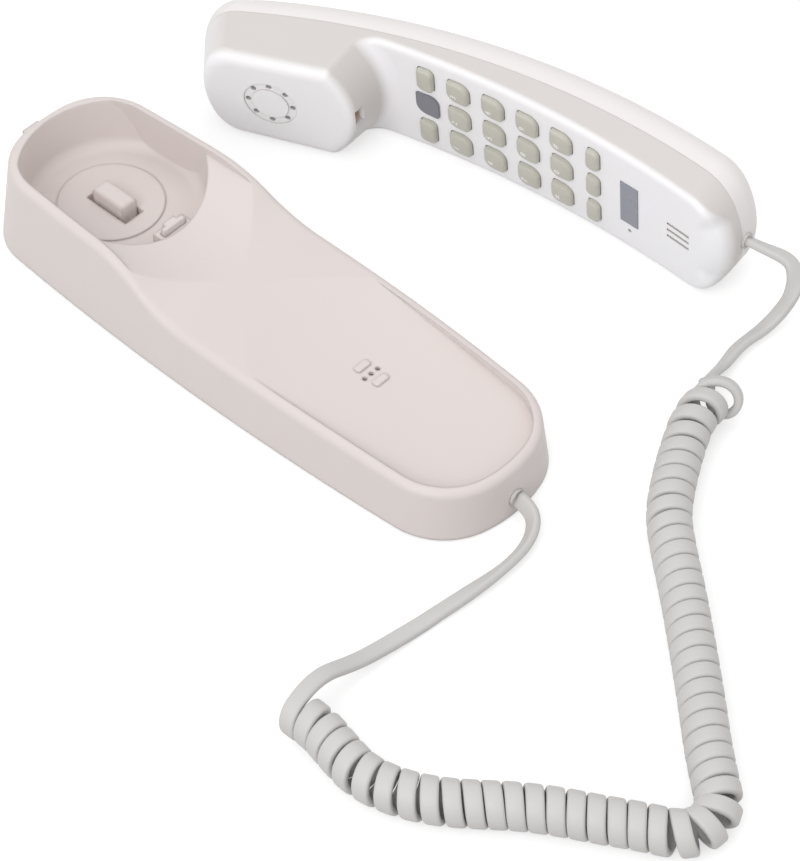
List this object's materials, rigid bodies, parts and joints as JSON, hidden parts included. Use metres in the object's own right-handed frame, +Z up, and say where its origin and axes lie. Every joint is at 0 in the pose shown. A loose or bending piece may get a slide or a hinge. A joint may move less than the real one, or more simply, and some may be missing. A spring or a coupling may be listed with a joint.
{
  "type": "corded telephone",
  "caption": "Slim corded telephone: a low cradle with an ear cup and hook switch, a keypad handset lying beside it on its side, and a curly cord between them.",
  "frame": {"origin": "middle of the cradle's outline, on the surface that its feet stand on", "axes": "+Z up, +Y along the cradle towards its ear cup, +X across towards the laid-down handset"},
  "size_m": [0.2284, 0.3139, 0.044],
  "materials": {
    "shell_white": "smooth satin moulding",
    "face_white": "smooth satin moulding",
    "plate_white": "fine matt moulding",
    "key_grey": "soft matt",
    "lens_grey": "polished translucent",
    "cord_grey": "soft vinyl sheath",
    "rubber_dark": "matt",
    "rubber_mat": "matt silicone",
    "steel": "zinc plated",
    "iron": "raw",
    "board_green": "solder mask",
    "dark_plastic": "matt",
    "led_clear": "clear resin"
  },
  "bodies": {
    "base": {"base_housing": "shell_white", "base_plate": "plate_white", "rubber_feet": "rubber_dark", "base_screws": "steel", "hook_spring": "steel", "hook_switch": "dark_plastic", "base_board": "board_green", "ballast_plate": "iron", "ringer_buzzer": "dark_plastic", "line_jack": "dark_plastic", "base_cord_bush": "cord_grey", "cord_base_lead": "cord_grey", "coil_cord": "cord_grey", "cord_handset_lead": "cord_grey"},
    "plunger": {"hook_plunger": "shell_white"},
    "hook": {"handset_hook": "shell_white"},
    "handset": {"handset_front_shell": "face_white", "handset_back_shell": "shell_white", "key_mat": "rubber_mat", "handset_board": "board_green", "ring_led": "led_clear", "indicator_lens": "lens_grey", "badge_plate": "lens_grey", "earpiece_gasket": "rubber_dark", "earpiece_speaker": "dark_plastic", "microphone": "dark_plastic", "handset_screws": "steel", "handset_cord_bush": "cord_grey"},
    "key_1_cap": {"key_1": "key_grey"},
    "key_2_cap": {"key_2": "key_grey"},
    "key_3_cap": {"key_3": "key_grey"},
    "key_4_cap": {"key_4": "key_grey"},
    "key_5_cap": {"key_5": "key_grey"},
    "key_6_cap": {"key_6": "key_grey"},
    "key_7_cap": {"key_7": "key_grey"},
    "key_8_cap": {"key_8": "key_grey"},
    "key_9_cap": {"key_9": "key_grey"},
    "key_star_cap": {"key_star": "key_grey"},
    "key_0_cap": {"key_0": "key_grey"},
    "key_hash_cap": {"key_hash": "key_grey"},
    "key_upper_left_cap": {"key_upper_left": "key_grey"},
    "key_upper_right_cap": {"key_upper_right": "key_grey"},
    "key_lower_left_cap": {"key_lower_left": "key_grey"},
    "key_lower_middle_cap": {"key_lower_middle": "key_grey"},
    "key_lower_right_cap": {"key_lower_right": "key_grey"}
  },
  "joints": [
    {"name": "hook_press", "type": "slide", "parent": "base", "child": "plunger", "axis": [0, 0, -1], "range_m": [0, 0.0034], "stiffness_N_per_m": 200, "springref_m": -0.002, "deforming": ["hook_spring"]},
    {"name": "hook_raise", "type": "slide", "parent": "base", "child": "hook", "axis": [0, 0, 1], "range_m": [0, 0.007]},
    {"name": "handset_lift", "type": "slide", "parent": "base", "child": "handset", "axis": [0, 0, 1], "range_m": [0, 0.05], "deforming": ["cord_handset_lead"]},
    {"name": "key_1_press", "type": "slide", "parent": "handset", "child": "key_1_cap", "axis": [0.9839, 0.1453, 0.1045], "range_m": [0, 0.0012], "stiffness_N_per_m": 600, "springref_m": -0.0005},
    {"name": "key_2_press", "type": "slide", "parent": "handset", "child": "key_2_cap", "axis": [0.9839, 0.1453, 0.1045], "range_m": [0, 0.0012], "stiffness_N_per_m": 600, "springref_m": -0.0005},
    {"name": "key_3_press", "type": "slide", "parent": "handset", "child": "key_3_cap", "axis": [0.9839, 0.1453, 0.1045], "range_m": [0, 0.0012], "stiffness_N_per_m": 600, "springref_m": -0.0005},
    {"name": "key_4_press", "type": "slide", "parent": "handset", "child": "key_4_cap", "axis": [0.9839, 0.1453, 0.1045], "range_m": [0, 0.0012], "stiffness_N_per_m": 600, "springref_m": -0.0005},
    {"name": "key_5_press", "type": "slide", "parent": "handset", "child": "key_5_cap", "axis": [0.9839, 0.1453, 0.1045], "range_m": [0, 0.0012], "stiffness_N_per_m": 600, "springref_m": -0.0005},
    {"name": "key_6_press", "type": "slide", "parent": "handset", "child": "key_6_cap", "axis": [0.9839, 0.1453, 0.1045], "range_m": [0, 0.0012], "stiffness_N_per_m": 600, "springref_m": -0.0005},
    {"name": "key_7_press", "type": "slide", "parent": "handset", "child": "key_7_cap", "axis": [0.9839, 0.1453, 0.1045], "range_m": [0, 0.0012], "stiffness_N_per_m": 600, "springref_m": -0.0005},
    {"name": "key_8_press", "type": "slide", "parent": "handset", "child": "key_8_cap", "axis": [0.9839, 0.1453, 0.1045], "range_m": [0, 0.0012], "stiffness_N_per_m": 600, "springref_m": -0.0005},
    {"name": "key_9_press", "type": "slide", "parent": "handset", "child": "key_9_cap", "axis": [0.9839, 0.1453, 0.1045], "range_m": [0, 0.0012], "stiffness_N_per_m": 600, "springref_m": -0.0005},
    {"name": "key_star_press", "type": "slide", "parent": "handset", "child": "key_star_cap", "axis": [0.9839, 0.1453, 0.1045], "range_m": [0, 0.0012], "stiffness_N_per_m": 600, "springref_m": -0.0005},
    {"name": "key_0_press", "type": "slide", "parent": "handset", "child": "key_0_cap", "axis": [0.9839, 0.1453, 0.1045], "range_m": [0, 0.0012], "stiffness_N_per_m": 600, "springref_m": -0.0005},
    {"name": "key_hash_press", "type": "slide", "parent": "handset", "child": "key_hash_cap", "axis": [0.9839, 0.1453, 0.1045], "range_m": [0, 0.0012], "stiffness_N_per_m": 600, "springref_m": -0.0005},
    {"name": "key_upper_left_press", "type": "slide", "parent": "handset", "child": "key_upper_left_cap", "axis": [0.9839, 0.1453, 0.1045], "range_m": [0, 0.0012], "stiffness_N_per_m": 600, "springref_m": -0.0005},
    {"name": "key_upper_right_press", "type": "slide", "parent": "handset", "child": "key_upper_right_cap", "axis": [0.9839, 0.1453, 0.1045], "range_m": [0, 0.0012], "stiffness_N_per_m": 600, "springref_m": -0.0005},
    {"name": "key_lower_left_press", "type": "slide", "parent": "handset", "child": "key_lower_left_cap", "axis": [0.9839, 0.1453, 0.1045], "range_m": [0, 0.0012], "stiffness_N_per_m": 600, "springref_m": -0.0005},
    {"name": "key_lower_middle_press", "type": "slide", "parent": "handset", "child": "key_lower_middle_cap", "axis": [0.9839, 0.1453, 0.1045], "range_m": [0, 0.0012], "stiffness_N_per_m": 600, "springref_m": -0.0005},
    {"name": "key_lower_right_press", "type": "slide", "parent": "handset", "child": "key_lower_right_cap", "axis": [0.9839, 0.1453, 0.1045], "range_m": [0, 0.0012], "stiffness_N_per_m": 600, "springref_m": -0.0005}
  ]
}
